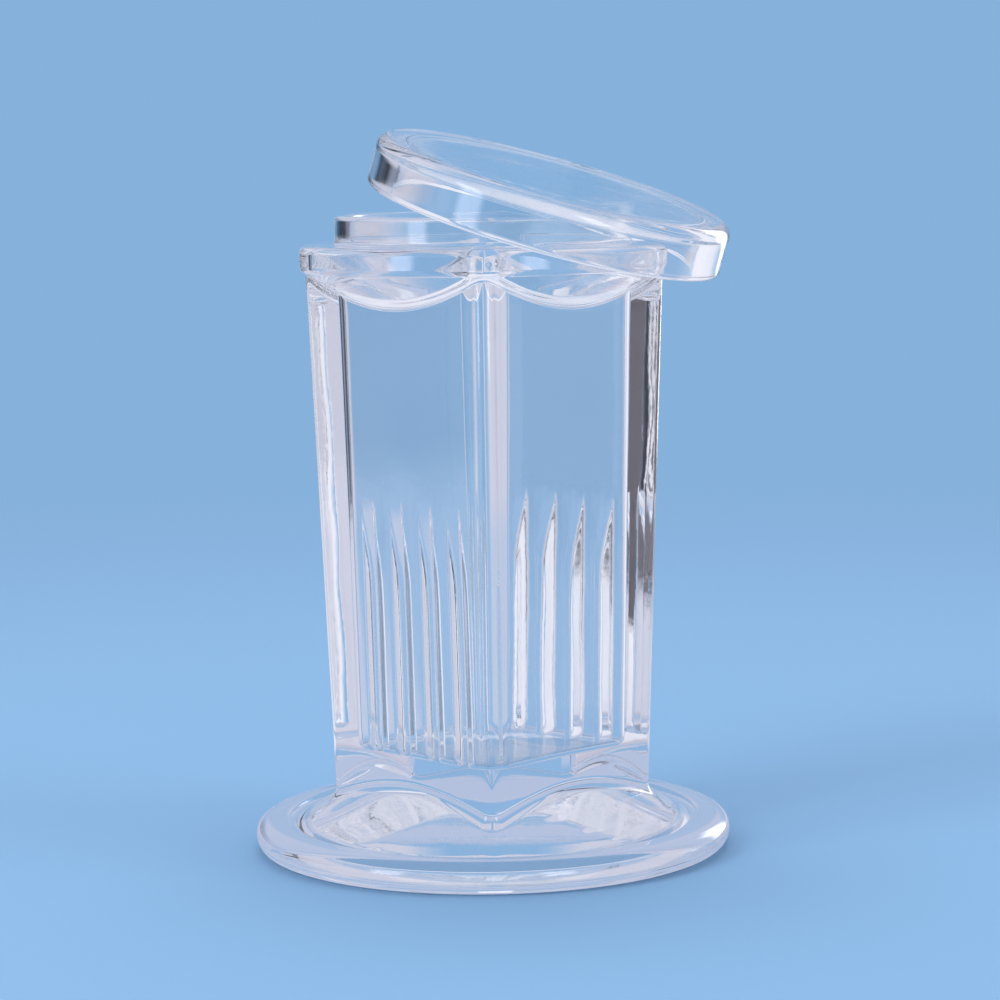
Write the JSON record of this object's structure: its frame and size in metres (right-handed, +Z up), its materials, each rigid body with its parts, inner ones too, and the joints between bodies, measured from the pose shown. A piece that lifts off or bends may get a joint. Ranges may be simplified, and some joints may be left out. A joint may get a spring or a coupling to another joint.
{
  "type": "slide staining jar",
  "caption": "Square pressed-glass jar on a wide round foot, ridged inside to stand microscope slides upright in stain, with a loose round cap lid leaning on its rim.",
  "frame": {"origin": "centre of the foot's underside, on the table", "axes": "+Z up the jar; X and Y square to the body's flat sides, with the slide slots on the two sides that face along Y"},
  "size_m": [0.0715, 0.071, 0.107],
  "materials": {
    "jar_glass": "fire-polished clear pressed glass",
    "lid_glass": "fire-polished clear pressed glass"
  },
  "bodies": {
    "root": {"jar": "jar_glass", "lid": "lid_glass"}
  },
  "joints": []
}
